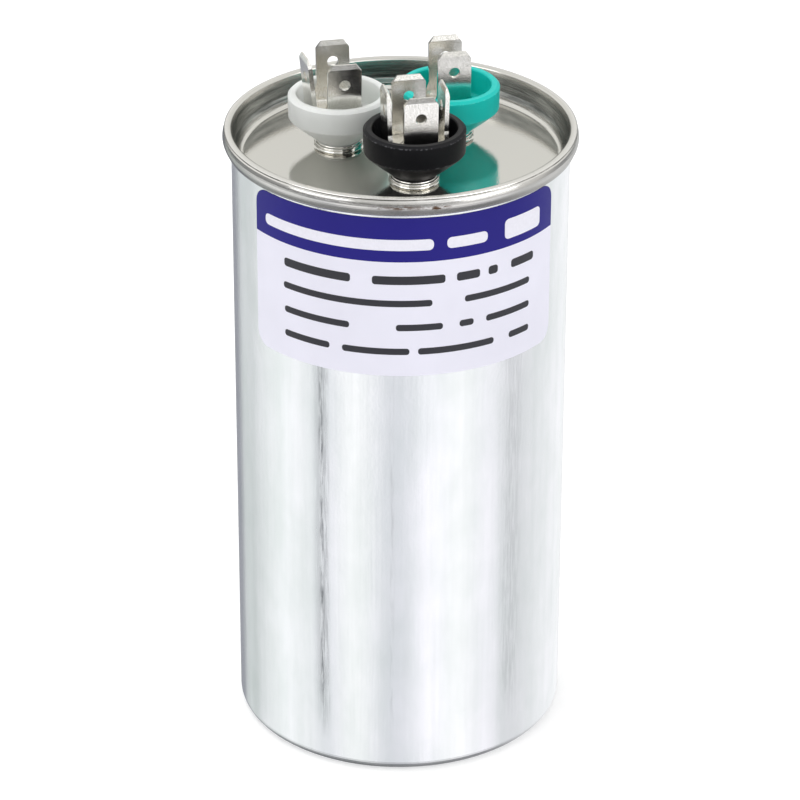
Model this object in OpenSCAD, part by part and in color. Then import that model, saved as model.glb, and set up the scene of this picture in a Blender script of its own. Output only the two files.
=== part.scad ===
// Dual motor run capacitor: a drawn aluminium can with a double-seamed tinplate lid, three moulded terminal
// cups with push-on tabs, and the film winding, leads and pressure interrupter inside.
// Millimetres, +Z up. The origin is the centre of the can's base. Label and common terminal face -Y.

/* [Can] */
// Outer diameter of the can
can_d = 63.5; // [58:0.5:80]
// Height from the base to the top of the seam
case_h = 123; // [90:1:160]
// Wall of the can
can_wall = 0.4; // [0.3:0.05:0.8]
// Thickness of the can's base
base_t = 0.8; // [0.5:0.1:1.5]
// Outer radius of the can's bottom corner
base_r = 2; // [1.2:0.1:4]

/* [Lid and seam] */
// Thickness of the lid's sheet
lid_t = 0.28; // [0.2:0.02:0.4]
// Height of the double seam
seam_h = 3.7; // [3.2:0.1:5]
// How far the seam leans outwards from its foot to its top
seam_flare = 0.6; // [0:0.1:1]
// How far the seam's outer wall bows out between lip and crease
seam_bulge = 0.3; // [0:0.05:0.4]
// Film of sealing compound between the seam's layers
seam_gap = 0.03; // [0.02:0.01:0.06]
// Depth of the lid's deck below the top of the seam
deck_depth = 5.8; // [5:0.1:9]
// Radius of the corner between the deck and the chuck wall
deck_r = 1.1; // [0.6:0.1:1.5]
// How far the chuck wall leans in between the seam's foot and the deck
chuck_taper = 0.45; // [0:0.05:0.8]

/* [Label] */
// Thickness of the label
label_t = 0.09; // [0.05:0.01:0.09]
// Width of the label, measured round the can
label_w = 65; // [40:1:90]
// Height of the label
label_h = 32; // [20:1:50]
// Corner radius of the label
label_r = 3; // [1:0.5:6]
// Gap between the label's top edge and the seam
label_drop = 0.7; // [0.3:0.1:10]
// Direction that the middle of the label faces, from +X
label_turn = -87.8; // [-180:1:180]

/* [Terminal cups] */
// Direction of the common terminal, from +X
terminal_turn = -78; // [-180:1:180]
// Gap between neighbouring cups, which sets the circle they stand on
cup_gap = 2.2; // [1:0.1:6]
// Clearance between the widest pair of tabs and the wall of its cup
cup_clear = 1.05; // [0.8:0.05:2]
// Wall of a cup
cup_wall = 1.6; // [1:0.1:2]
// Height of a cup's mouth above the deck
cup_top = 10.7; // [9:0.1:14]
// Height above the deck at which a cup's straight wall ends
cup_edge = 6.1; // [4.5:0.1:7]
// Height of a cup's floor above the deck
cup_floor = 5.4; // [4:0.1:6]
// How far a cup's neck stands in from the edge of its collar
neck_step = 0.45; // [0.2:0.05:0.8]
// Bevel round a cup's mouth
cup_bevel = 0.5; // [0.2:0.1:0.7]
// Height of the lid's swaged collars above the deck
collar_h = 1.3; // [1:0.1:2]
// Width of a collar's ring round the stem, out to its bead
collar_w = 1.3; // [1.1:0.05:2]
// Diameter of a cup's stem, which passes through the collar
stem_d = 6.6; // [5.5:0.1:7]
// Clearance round a cup's stem
stem_clear = 0.05; // [0.03:0.01:0.15]

/* [Tabs] */
// Width of a push-on tab
tab_w = 6.35; // [4.8:0.05:6.5]
// Thickness of the tab strip
tab_t = 0.8; // [0.5:0.05:1]
// How far the tabs stand out of the mouths of their cups
tab_reach = 8; // [6:0.1:10]
// How far the foot of a tab is wider than the tab, on each side
shoulder = 0.7; // [0.3:0.05:1]
// Height of the widened foot above the strip
root_h = 3.2; // [2:0.1:5]
// Width of the bevel on each corner of a tab's tip
bevel_w = 1; // [0.6:0.1:1.4]
// Height of the bevel on each corner of a tab's tip
bevel_h = 1.4; // [0.8:0.1:2]
// Height of the coined lead-in on both faces of a tab's tip
lead_in_h = 0.9; // [0.4:0.1:1.4]
// Depth of the lead-in on each face
lead_in_t = 0.22; // [0.1:0.02:0.24]
// Diameter of the latch hole
latch_d = 2.1; // [1.4:0.05:2.4]
// Distance of the latch hole below the tip
latch_drop = 4.1; // [3:0.1:5]
// Inner radius of the strip's bends
bend_r = 0.5; // [0.3:0.1:0.8]
// Flat between the common terminal's crossing strip and its bends
common_flat = 0.4; // [0.1:0.05:2]
// Flat between the herm terminal's crossing strip and its bends
herm_flat = 0.5; // [0.1:0.05:2]
// Flat between the fan terminal's rivet head and its bends
fan_flat = 0.1; // [0.1:0.05:2]
// Flat between the crossing strip's corners and the bend of the herm terminal's side tab
side_flat = 0.05; // [0.05:0.05:2]
// Outward lean of the common terminal's tabs, in degrees
common_lean = 1.6; // [0:0.1:4]
// Outward lean of the herm terminal's upper tabs, in degrees
herm_lean = 4; // [0:0.1:6]
// Outward lean of the fan terminal's tabs, in degrees
fan_lean = 1.2; // [0:0.1:4]
// Outward lean of the herm terminal's side tab, in degrees
side_lean = 6; // [0:0.5:12]
// Turn of the herm terminal's side tab past square to the strip above it, in degrees
side_turn = 5; // [0:1:15]
// Turn of every terminal about its own axis, in degrees
tab_turn = 12; // [-30:1:30]
// Diameter of a rivet's shank
rivet_d = 3; // [2.4:0.1:3.4]
// Diameter of a rivet's head
rivet_head_d = 5.6; // [4.6:0.1:6.6]
// Height of a rivet's head
rivet_head_h = 1; // [0.6:0.1:1.4]

/* [Under the lid] */
// Diameter of a seal's flange
seal_d = 14; // [11:0.5:16]
// Thickness of a seal's flange
seal_t = 1.5; // [1:0.1:2.5]
// Diameter of a solder tag's eye
tag_d = 9; // [7:0.5:10]
// Thickness of a solder tag
tag_t = 0.6; // [0.4:0.1:1]
// Width of a solder tag's tail
tag_tail_w = 3; // [2.4:0.1:4]
// Diameter of the leads
lead_d = 1.2; // [0.8:0.1:1.4]
// Free height between the rivets and the interrupter disc
head_space = 4.5; // [2:0.5:10]
// Thickness of the interrupter disc
disc_t = 1.5; // [1:0.1:2.5]
// Height of the interrupter disc's feet
disc_foot_h = 6.5; // [4:0.5:8]
// Diameter of the interrupter disc's feet
disc_foot_d = 5; // [3:0.5:7]

/* [Winding] */
// Clearance between the wound film and the rim of its tray
roll_clear = 0.35; // [0.2:0.05:3]
// Bore of the core tube
core_bore = 8; // [6:0.5:9]
// Wall of the core tube
core_wall = 2; // [1:0.1:3]
// Thickness of the sprayed zinc on the winding's ends
spray_t = 0.8; // [0.4:0.1:1.2]
// Outer diameter of the fan section of the winding
fan_section_d = 24; // [20:0.5:28]
// Bare margin between the two sprayed rings
spray_margin = 1; // [0.5:0.1:2]
// Thickness of the liner between winding and can
liner_t = 0.5; // [0.3:0.1:0.8]
// Clearance round the liner
liner_clear = 0.15; // [0.1:0.05:0.3]
// Floor thickness of the bottom tray
tray_t = 1.6; // [1:0.1:2.5]
// Height of the bottom tray's rim above its floor
tray_rim_h = 5.6; // [3:0.1:10]
// Room under the common lead, between the tray's ribs
lead_room = 0.2; // [0.1:0.1:1]

/* [Hidden] */
$fn = 96;
arc_n = 8;          // segments in each rounded corner of a revolved sheet
over = 1;           // how far a cutter runs past the face it cuts
arc_over = 1.02;    // the label's corner arcs meet its edges at a small angle
can_r = can_d / 2;
can_in_r = can_r - can_wall;
deck_z = case_h - deck_depth;
foot_z = case_h - seam_h;
under_z = deck_z - lid_t;   // underside of the lid's deck

// Radii of the seam's layers at its foot, from the inside out
chuck_r = can_in_r - seam_gap - lid_t;
hook_r = can_r + seam_gap;                          // inner face of the lid's cover hook
body_hook_r = hook_r + lid_t + seam_gap;            // inner face of the can's body hook
seam_r = body_hook_r + can_wall + seam_gap + lid_t; // outer face of the lid's seaming wall
curl_r = (seam_r - hook_r) / 2;                     // radius of the curl at the seam's lip
fold_r = (body_hook_r - can_r) / 2;                 // radius of the can's flange over the cover hook
seam_land = 0.76;   // width of the flat land on the seam's top
crease_in = 0.5;    // how far the crease lies inside the seam's outer face
crease_drop = 0.42; // depth of the crease below the seam's top
flange_drop = 0.5;  // headspace between the lid and the top of the can's flange
hook_clear = 0.3;   // free space at the end of each hook

// Across a terminal: rivet head, strip, cup, and the circle that the three cups stand on
root_w = tab_w + 2 * shoulder;
crossed_w = max(root_w, rivet_head_d);
// Distance between the mid-planes of a pair of tabs, whose strip holds a width w and a flat on both sides
function spread(w, flat) = w + 2 * (flat + bend_r) + tab_t;
common_spread = spread(crossed_w, common_flat);
herm_spread = spread(crossed_w, herm_flat);
fan_spread = spread(rivet_head_d, fan_flat);
side_spread = spread(root_w * (1 / cos(side_turn) + tan(side_turn)), side_flat);
widest = (max(common_spread, herm_spread, fan_spread, side_spread) + tab_t) / 2;
cup_in_r = norm([widest, root_w / 2]) + cup_clear;
cup_r = cup_in_r + cup_wall;
terminal_ring = (2 * cup_r + cup_gap) / sqrt(3);
stem_r = stem_d / 2;
collar_bore = stem_d + 2 * stem_clear;
collar_r = collar_bore / 2 + collar_w;
bead_r = 0.3;           // radius of a collar's bead
neck_r = collar_r - neck_step;
seal_clear = 0.1;       // room for the seal's sleeve inside its collar

// Heights along a terminal, measured from the deck
tab_top = cup_top + tab_reach;
cone_edge = 0.25;       // small bevel where a cup's wall meets its cone
cone_belly = 0.12;      // how far the cone swells outwards halfway down
seal_z = under_z - seal_t;
tag_z = seal_z - tag_t;
clinch_h = 0.9;         // height of a rivet's clinched end
clinch_d = 4.6;
rivet_clear = 0.05;
strip_z = deck_z + cup_floor;
tag_hole_d = rivet_d + 2 * rivet_clear;

// Heights inside the can, from the base up
tray_z = base_t;
tray_rib_h = lead_d + lead_room;
spray_low_z = tray_z + tray_t + tray_rib_h;
roll_z = spray_low_z + spray_t;
disc_z = tag_z - clinch_h - head_space - disc_t;
disc_foot_z = disc_z - disc_foot_h;
spray_high_z = disc_foot_z - spray_t;
roll_h = spray_high_z - roll_z;
liner_r = can_in_r - liner_clear;
tray_rim_t = 1.2;
tray_fit = 0.15;        // clearance between the tray's rim and the liner
rim_r = liner_r - liner_t - tray_fit;
roll_r = rim_r - tray_rim_t - roll_clear;
spray_r = roll_r - 0.5; // the sprayed zinc stops short of the winding's edge
fan_r = fan_section_d / 2;
core_r = core_bore / 2 + core_wall;
spray_in_r = core_r + 0.1;
lead_r = lead_d / 2;
disc_r = rim_r - tray_rim_t - tray_fit;
lead_hole_clear = 0.3;

// Radii from the can's axis at which the leads run down to the winding's top
fan_lead_r = (spray_in_r + fan_r) / 2;
herm_lead_r = terminal_ring + seal_d / 2;
common_lead_r = 0;

// Point at radius r and angle a from [x, y]
function polar(x, y, r, a) = [x + r * cos(a), y + r * sin(a)];
// Points of an arc round [x, y]
function arc(x, y, r, a0, a1, n = arc_n) = [for (i = [0:n]) polar(x, y, r, a0 + (a1 - a0) * i / n)];
function reversed(p) = [for (i = [len(p) - 1:-1:0]) p[i]];
// Left-hand normal of a path at its point i
function normal_at(p, i) =
    let (d = p[min(i + 1, len(p) - 1)] - p[max(i - 1, 0)], t = d / norm(d)) [-t[1], t[0]];
// The path's other face, t to its left
function offset_by(p, t) = [for (i = [0:len(p) - 1]) p[i] + t * normal_at(p, i)];
// Outline of a sheet: the path is one face, the other lies t to its left
function sheet(p, t) = concat(p, reversed(offset_by(p, t)));
// The end of a sheet, from face point a to face point b, coined down on both faces; u points up to the end
function coined(a, b, u) = let (n = (b - a) / norm(b - a))
    [a - lead_in_h * u, a + lead_in_t * n, b - lead_in_t * n, b - lead_in_h * u];
// Leans the seam outwards: nothing moves below its foot, the full flare applies at its top
function flared(p) = [for (q = p) [q[0] + seam_flare * max(0, q[1] - foot_z) / seam_h, q[1]]];
// Direction of terminal i, counted from the common terminal
function terminal_angle(i) = terminal_turn + 120 * i;

module revolved(outline) {
    rotate_extrude() polygon(outline);
}

// Moves its children to terminal i, with the terminal's own turn
module at_terminal(i, turn = tab_turn) {
    rotate([0, 0, terminal_angle(i)])
        translate([terminal_ring, 0, 0])
            rotate([0, 0, turn - terminal_angle(i)])
                children();
}

// Can: drawn cup whose mouth is flanged over the lid's cover hook
module can() {
    fold_z = case_h - lid_t - flange_drop - can_wall - fold_r;
    wall = concat(
        [[can_r, base_r], [can_r, foot_z]],
        arc(can_r + fold_r, fold_z, fold_r, 180, 0),
        [[body_hook_r, foot_z + curl_r + hook_clear]]);
    inner_r = max(base_r - can_wall, 0.3);
    base = concat(
        [[0, 0]],
        arc(can_r - base_r, base_r, base_r, -90, 0),
        flared(sheet([for (i = [1:len(wall) - 1]) wall[i]], can_wall)),
        arc(can_in_r - inner_r, base_t + inner_r, inner_r, 0, -90),
        [[0, base_t]]);
    color("gainsboro") revolved(base);
}

// Swaged collar round a terminal hole, drawn up out of the deck: fillet, neck, bead and rolled-in top
module collar() {
    neck = collar_r - bead_r;
    bead = collar_h * 0.55;
    face = concat(
        [[neck + 1.3, 0]],
        arc(neck + 0.5, 0.5, 0.5, -90, -180, 4),
        arc(neck, bead, bead_r, -60, 60, 6),
        arc(neck - bead_r - 0.05, collar_h - bead_r, bead_r, 0, 90, 4),
        [[collar_bore / 2, collar_h]]);
    translate([0, 0, deck_z]) revolved(sheet(face, lid_t));
}

// Lid: deck, chuck wall, seam top, seaming wall and cover hook are one pressed sheet, with three collars
module lid() {
    wall_r = chuck_r - chuck_taper;
    top_r = lid_t + 0.12;
    edge_r = lid_t + 0.02;
    land_r = chuck_r + top_r + seam_land;
    crease_z = case_h - crease_drop;
    hip_z = crease_z - 0.25;
    lip_z = foot_z + curl_r;
    bulge_z = (hip_z + lip_z) / 2;
    hook_z = case_h - lid_t - flange_drop - can_wall - hook_clear;
    face = concat(
        [[0, deck_z]],
        arc(wall_r - deck_r, deck_z + deck_r, deck_r, -90, 0),
        [[chuck_r, foot_z]],
        arc(chuck_r + top_r, case_h - top_r, top_r, 180, 90),
        arc(land_r, case_h - edge_r, edge_r, 90, 30, 4),
        [[seam_r - crease_in, crease_z]],
        [for (i = [0:arc_n]) let (s = i / arc_n)
            [seam_r - 0.2 * pow(1 - s, 3) + seam_bulge * sin(180 * s), hip_z + (lip_z - hip_z) * s]],
        arc(seam_r - curl_r, lip_z, curl_r, -20, -180),
        [[hook_r, hook_z]]);
    color("silver") difference() {
        union() {
            revolved(flared(sheet(face, -lid_t)));
            for (i = [0:2]) at_terminal(i) collar();
        }
        for (i = [0:2]) at_terminal(i)
            translate([0, 0, under_z - over])
                cylinder(r = collar_r - bead_r - lid_t, h = lid_t + over + 0.01);
    }
}

// Label: thin sheet wrapped round the can, with round corners
module label() {
    outer_r = can_r + label_t;
    angle = label_w / outer_r * 180 / PI;
    corner = asin(label_r / outer_r);
    top = foot_z - label_drop;
    color("lavender") difference() {
        rotate([0, 0, label_turn - angle / 2])
            rotate_extrude(angle = angle)
                translate([can_r, top - label_h]) square([label_t, label_h]);
        for (side = [-1, 1], up = [-1, 1])
            rotate([0, 0, label_turn + side * (angle / 2 - corner)])
                translate([can_r - over, 0, up > 0 ? top - label_r : top - label_h + label_r])
                    difference() {
                        translate([0, side > 0 ? 0 : -2 * label_r, up > 0 ? 0 : -2 * label_r])
                            cube([2 * over, 2 * label_r, 2 * label_r]);
                        translate([-over, 0, 0]) rotate([0, 90, 0])
                            cylinder(r = label_r * arc_over, h = 4 * over);
                    }
    }
}

// Cup: straight wall on a cone, with a neck that sits on the collar and a stem that passes through it
module cup(i) {
    cone_r = cup_r - cone_edge;
    cone_top = cup_edge - cone_edge;
    foot = collar_h + 0.25;
    cone = [for (k = [0:arc_n]) let (s = k / arc_n)
        [cone_r + (neck_r - cone_r) * s + cone_belly * sin(180 * s), cone_top + (foot - cone_top) * s]];
    floor_r = 0.8;
    bore_r = rivet_d / 2 + rivet_clear;
    outline = concat(
        [[bore_r, cup_floor]],
        arc(cup_in_r - floor_r, cup_floor + floor_r, floor_r, -90, 0, 4),
        [[cup_in_r, cup_top - 0.2], [cup_in_r + 0.2, cup_top], [cup_r - cup_bevel, cup_top],
            [cup_r, cup_top - cup_bevel], [cup_r - 0.08, cup_edge]],
        cone,
        [[neck_r, collar_h], [stem_r, collar_h], [stem_r, -lid_t - seal_t], [bore_r, -lid_t - seal_t]]);
    at_terminal(i) translate([0, 0, deck_z]) revolved(outline);
}
module common_cup() { color("#1f1f22") cup(0); }
module fan_cup() { color("#1fb5a8") cup(1); }
module herm_cup() { color("#dfe2df") cup(2); }

// Strip bent up from flat stock. Across the terminal it is one leg or two, each with a bend and a leaning
// tab; the tabs are then cut to their outline and pierced. The strip's legs point along Y, turned by turn.
module strip(i, turn, spread, lean, lift, both = true) {
    bend_out = bend_r + tab_t;          // outer radius of the bends
    mid_r = bend_r + tab_t / 2;
    bend_y = spread / 2 - mid_r;        // distance of the bends' centres from the rivet
    rise = tab_top - cup_floor - lift;
    leg_l = (rise - bend_out * (1 - sin(lean))) / cos(lean);
    tip = [bend_y + bend_out * cos(lean) + leg_l * sin(lean), rise];
    near_face = concat([[-tip[0], tip[1]]], arc(-bend_y, bend_out, bend_out, 180 + lean, 270));
    far_face = both ? reversed([for (p = near_face) [-p[0], p[1]]]) : [[root_w / 2, 0]];
    outer = concat(near_face, far_face);
    inner = offset_by(outer, tab_t);
    n = len(outer) - 1;
    near_up = [-sin(lean), cos(lean)];
    far_up = [sin(lean), cos(lean)];
    profile = concat(
        [for (k = [1:n - 1]) outer[k]],
        both ? coined(outer[n], inner[n], far_up) : [outer[n], inner[n]],
        [for (k = [n - 1:-1:1]) inner[k]],
        coined(inner[0], outer[0], near_up));
    edge = root_w / 2 + 0.2;            // the cutters reach past the strip's edge
    slope = root_h * 0.65 / ((root_w - tab_w) / 2);
    waste = [[edge, root_h - slope * (edge - tab_w / 2)], [tab_w / 2, root_h], [tab_w / 2, leg_l - bevel_h],
        [tab_w / 2 - bevel_w * (1 + over / bevel_h), leg_l + over], [edge, leg_l + over]];
    color("lightgray") at_terminal(i) translate([0, 0, strip_z + lift]) rotate([0, 0, turn]) difference() {
        rotate([90, 0, 90]) linear_extrude(root_w, center = true) polygon(profile);
        for (side = both ? [-1, 1] : [-1])
            translate([0, side * bend_y, bend_out]) rotate([-side * lean, 0, 0])
                translate([0, side * mid_r, 0]) rotate([90, 0, 0]) {
                    for (x = [-1, 1]) linear_extrude(4 * tab_t, center = true)
                        polygon([for (p = waste) [x * p[0], p[1]]]);
                    translate([0, leg_l - latch_drop, 0])
                        cylinder(d = latch_d, h = 4 * tab_t, center = true, $fn = 48);
                }
        translate([0, 0, -over]) cylinder(r = rivet_d / 2 + rivet_clear, h = tab_t + 2 * over);
    }
}
module common_strip_lower() { strip(0, 0, common_spread, common_lean, 0); }
module common_strip_upper() { strip(0, 90, common_spread, common_lean, tab_t); }
module fan_strip() { strip(1, 0, fan_spread, fan_lean, 0); }
module herm_strip() { strip(2, 0, herm_spread, herm_lean, tab_t); }
module herm_side_tab() { strip(2, side_turn - 90, side_spread, side_lean, 0, both = false); }

// Rivet: domed head on the strips, shank through cup and tag, clinched end under the tag
module rivet(i, strips) {
    head_z = strip_z + strips * tab_t;
    head_r = rivet_head_d / 2;
    shank_r = rivet_d / 2;
    dome_r = (head_r * head_r + rivet_head_h * rivet_head_h) / (2 * rivet_head_h);
    dome_a = asin(head_r / dome_r);
    outline = concat(
        [for (k = [0:8]) let (a = dome_a * k / 8)
            [dome_r * sin(a), head_z + rivet_head_h - dome_r * (1 - cos(a))]],
        [[shank_r, head_z], [shank_r, tag_z], [clinch_d / 2, tag_z], [clinch_d / 2 - 0.4, tag_z - clinch_h],
            [0, tag_z - clinch_h]]);
    color("lightgray") at_terminal(i) revolved(outline);
}
module common_rivet() { rivet(0, 2); }
module fan_rivet() { rivet(1, 1); }
module herm_rivet() { rivet(2, 2); }

// Seal: rubber flange under the lid with a sleeve up into the collar
module seal(i) {
    bore_r = collar_bore / 2;
    sleeve_r = collar_r - bead_r - lid_t - seal_clear;
    outline = [[bore_r, seal_z], [seal_d / 2, seal_z], [seal_d / 2, under_z], [sleeve_r, under_z],
        [sleeve_r, deck_z + collar_h - lid_t - 0.35], [bore_r, deck_z + collar_h - lid_t - 0.35]];
    color("dimgray") at_terminal(i) revolved(outline);
}
module common_seal() { seal(0); }
module fan_seal() { seal(1); }
module herm_seal() { seal(2); }

// Solder tag: round eye clinched by the rivet, with a tail along the can's radius out to radius reach
module tag(i, reach) {
    tail = reach - terminal_ring;
    color("lightgray") rotate([0, 0, terminal_angle(i)]) translate([terminal_ring, 0, tag_z]) difference() {
        union() {
            cylinder(d = tag_d, h = tag_t);
            translate([min(tail, 0), -tag_tail_w / 2, 0]) cube([abs(tail), tag_tail_w, tag_t]);
            translate([tail, 0, 0]) cylinder(d = tag_tail_w, h = tag_t);
        }
        translate([0, 0, -over]) cylinder(d = tag_hole_d, h = tag_t + 2 * over);
    }
}
module common_tag() { tag(0, common_lead_r); }
module fan_tag() { tag(1, fan_lead_r); }
module herm_tag() { tag(2, herm_lead_r); }

// Interrupter disc: stands on the winding by three feet and guides the leads
module interrupter_disc() {
    foot_r = (fan_r + spray_margin + roll_r) / 2;
    color("tan") difference() {
        union() {
            translate([0, 0, disc_z]) cylinder(r = disc_r, h = disc_t);
            for (i = [0:2])
                rotate([0, 0, terminal_angle(i) + 60]) translate([foot_r, 0, disc_foot_z])
                    cylinder(d = disc_foot_d, h = disc_foot_h);
        }
        translate([0, 0, disc_z - over]) cylinder(r = core_bore / 2, h = disc_t + 2 * over);
        rotate([0, 0, terminal_angle(1)]) translate([fan_lead_r, 0, disc_z - over])
            cylinder(r = lead_r + lead_hole_clear, h = disc_t + 2 * over, $fn = 48);
        rotate([0, 0, terminal_angle(2)]) translate([herm_lead_r, 0, disc_z - over])
            cylinder(r = lead_r + lead_hole_clear, h = disc_t + 2 * over, $fn = 48);
    }
}

// Straight leads from the fan and herm tags down to their sprayed rings
module straight_lead(i, r) {
    color("peru") rotate([0, 0, terminal_angle(i)]) translate([r, 0, disc_foot_z])
        cylinder(r = lead_r, h = tag_z - disc_foot_z, $fn = 24);
}
module fan_lead() { straight_lead(1, fan_lead_r); }
module herm_lead() { straight_lead(2, herm_lead_r); }

// Common lead: straight down the core from its tag, then bent out under the lower spray
module common_lead() {
    bend = 1.5 * lead_d;
    run_z = spray_low_z - lead_r;
    run_l = core_r + 4 - bend;
    color("peru") rotate([0, 0, terminal_angle(0)]) {
        translate([0, 0, run_z + bend]) cylinder(r = lead_r, h = tag_z - run_z - bend, $fn = 24);
        translate([bend, 0, run_z + bend]) rotate([90, 0, 0]) rotate([0, 0, 180])
            rotate_extrude(angle = 90) translate([bend, 0]) circle(r = lead_r, $fn = 24);
        translate([bend, 0, run_z]) rotate([0, 90, 0]) cylinder(r = lead_r, h = run_l, $fn = 24);
    }
}

// Wound film on its core, with the sprayed zinc on both ends
module ring(r0, r1, z, h) {
    translate([0, 0, z]) difference() {
        cylinder(r = r1, h = h);
        translate([0, 0, -over]) cylinder(r = r0, h = h + 2 * over);
    }
}
module film_roll() { color("whitesmoke") ring(core_r, roll_r, roll_z, roll_h); }
module core_tube() { color("linen") ring(core_bore / 2, core_r, roll_z, roll_h); }
module end_spray_common() { color("darkgray") ring(spray_in_r, spray_r, spray_low_z, spray_t); }
module end_spray_fan() { color("darkgray") ring(spray_in_r, fan_r, spray_high_z, spray_t); }
module end_spray_herm() { color("darkgray") ring(fan_r + spray_margin, spray_r, spray_high_z, spray_t); }

// Liner: insulating sleeve that stands on the tray's ledge
module can_liner() {
    z = tray_z + tray_t + 0.5;
    color("wheat") ring(liner_r - liner_t, liner_r, z, disc_z - z);
}

// Tray: centres the winding on the can's base and stands it off on ribs
module bottom_tray() {
    floor_top = tray_z + tray_t;
    corner = max(base_r, 1.6);
    color("linen") union() {
        revolved([[0, tray_z], [can_r - corner - 0.2, tray_z], [liner_r, tray_z + corner - 0.1],
            [liner_r, floor_top + 0.5], [rim_r, floor_top + 0.5], [rim_r, floor_top + tray_rim_h],
            [rim_r - tray_rim_t, floor_top + tray_rim_h], [rim_r - tray_rim_t, floor_top], [0, floor_top]]);
        for (k = [0:5])
            rotate([0, 0, terminal_angle(0) + 30 + 60 * k])
                translate([core_r + 2, -1, floor_top - tray_t / 2])
                    cube([roll_r - core_r - 4, 2, tray_rib_h + tray_t / 2]);
    }
}

can();
lid();
label();
common_cup();
herm_cup();
fan_cup();
common_strip_lower();
common_strip_upper();
herm_strip();
herm_side_tab();
fan_strip();
common_rivet();
herm_rivet();
fan_rivet();
common_seal();
herm_seal();
fan_seal();
common_tag();
herm_tag();
fan_tag();
interrupter_disc();
common_lead();
herm_lead();
fan_lead();
film_roll();
core_tube();
end_spray_common();
end_spray_fan();
end_spray_herm();
can_liner();
bottom_tray();
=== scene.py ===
"""Dual motor run capacitor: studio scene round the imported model."""
import math

import bpy
from mathutils import Matrix, Vector


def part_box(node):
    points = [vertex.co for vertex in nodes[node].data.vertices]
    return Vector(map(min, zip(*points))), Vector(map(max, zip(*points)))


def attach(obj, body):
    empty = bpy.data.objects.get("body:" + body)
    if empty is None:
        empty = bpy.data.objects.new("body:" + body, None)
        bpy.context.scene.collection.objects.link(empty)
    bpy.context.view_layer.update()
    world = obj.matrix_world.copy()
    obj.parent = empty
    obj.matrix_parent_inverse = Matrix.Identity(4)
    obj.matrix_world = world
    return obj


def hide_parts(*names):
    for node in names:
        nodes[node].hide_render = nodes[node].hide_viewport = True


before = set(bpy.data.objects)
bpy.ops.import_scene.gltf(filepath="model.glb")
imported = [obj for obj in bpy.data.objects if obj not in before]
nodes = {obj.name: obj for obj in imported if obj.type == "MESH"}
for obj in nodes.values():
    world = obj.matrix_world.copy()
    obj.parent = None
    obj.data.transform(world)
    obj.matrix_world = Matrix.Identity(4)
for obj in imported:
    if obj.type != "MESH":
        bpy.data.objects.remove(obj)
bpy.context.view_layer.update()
mm = 0.001

# ---------------------------------------------------------------------------------------------------------
# Camera: a long lens above and in front of the label, looking down on the terminals.
# ---------------------------------------------------------------------------------------------------------
camera_data = bpy.data.cameras.new("camera")
camera_data.lens = 177.25
camera_data.sensor_width = 36
camera_data.clip_start = 0.05
camera_data.clip_end = 50
camera = bpy.data.objects.new("camera", camera_data)
bpy.context.collection.objects.link(camera)
camera.matrix_world = (Matrix.Translation((0, -674.3 * mm, 421.7 * mm))
                       @ Matrix.Rotation(math.radians(62.106), 4, "X")
                       @ Matrix.Rotation(math.radians(0.162), 4, "Z"))
bpy.context.scene.camera = camera
bpy.context.scene.view_settings.view_transform = "Standard"


# ---------------------------------------------------------------------------------------------------------
# Floor: a sheet of pale studio card, white to the eye, which keeps a soft shadow. Metal doesn't mirror the
# card but the tent round it, as if the object stood on a narrow post.
# ---------------------------------------------------------------------------------------------------------
def linear(code):
    """Linear colour of an sRGB hex code."""
    parts = [int(code[i:i + 2], 16) / 255 for i in (1, 3, 5)]
    return [p / 12.92 if p <= 0.04045 else ((p + 0.055) / 1.055) ** 2.4 for p in parts] + [1.0]


def add(tree, kind, inputs=None, **settings):
    """Adds a shader node. An input takes a value, or another node's output, which is linked to it."""
    made = tree.nodes.new("ShaderNode" + kind)
    for key, value in settings.items():
        setattr(made, key, value)
    for key, value in (inputs or {}).items():
        if isinstance(value, bpy.types.NodeSocket):
            tree.links.new(value, made.inputs[key])
        else:
            made.inputs[key].default_value = value
    return made


def new_material(name):
    """An empty material, as the material, its node tree and its output node."""
    made = bpy.data.materials.new(name)
    made.use_nodes = True
    made.node_tree.nodes.clear()
    return made, made.node_tree, add(made.node_tree, "OutputMaterial")


floor_card, tree, output = new_material("studio_card")
path = add(tree, "LightPath")
seen = add(tree, "Math", {0: path.outputs["Is Camera Ray"], 1: path.outputs["Is Transmission Ray"]},
           operation="MAXIMUM")
card = add(tree, "BsdfDiffuse", {"Color": linear("#e9e9e9")})
glow = add(tree, "Emission", {"Color": linear("#ffffff"),
                              "Strength": add(tree, "Math", {0: seen.outputs[0], 1: 0.32},
                                              operation="MULTIPLY").outputs[0]})
both = add(tree, "AddShader", {0: card.outputs[0], 1: glow.outputs[0]})
tree.links.new(both.outputs[0], output.inputs["Surface"])

bpy.ops.object.select_all(action="DESELECT")
bpy.ops.mesh.primitive_plane_add(size=16, location=(0, 0, -0.02 * mm))
floor = bpy.context.object
floor.name = "floor"
floor.visible_glossy = False
floor.data.materials.append(floor_card)

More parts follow.
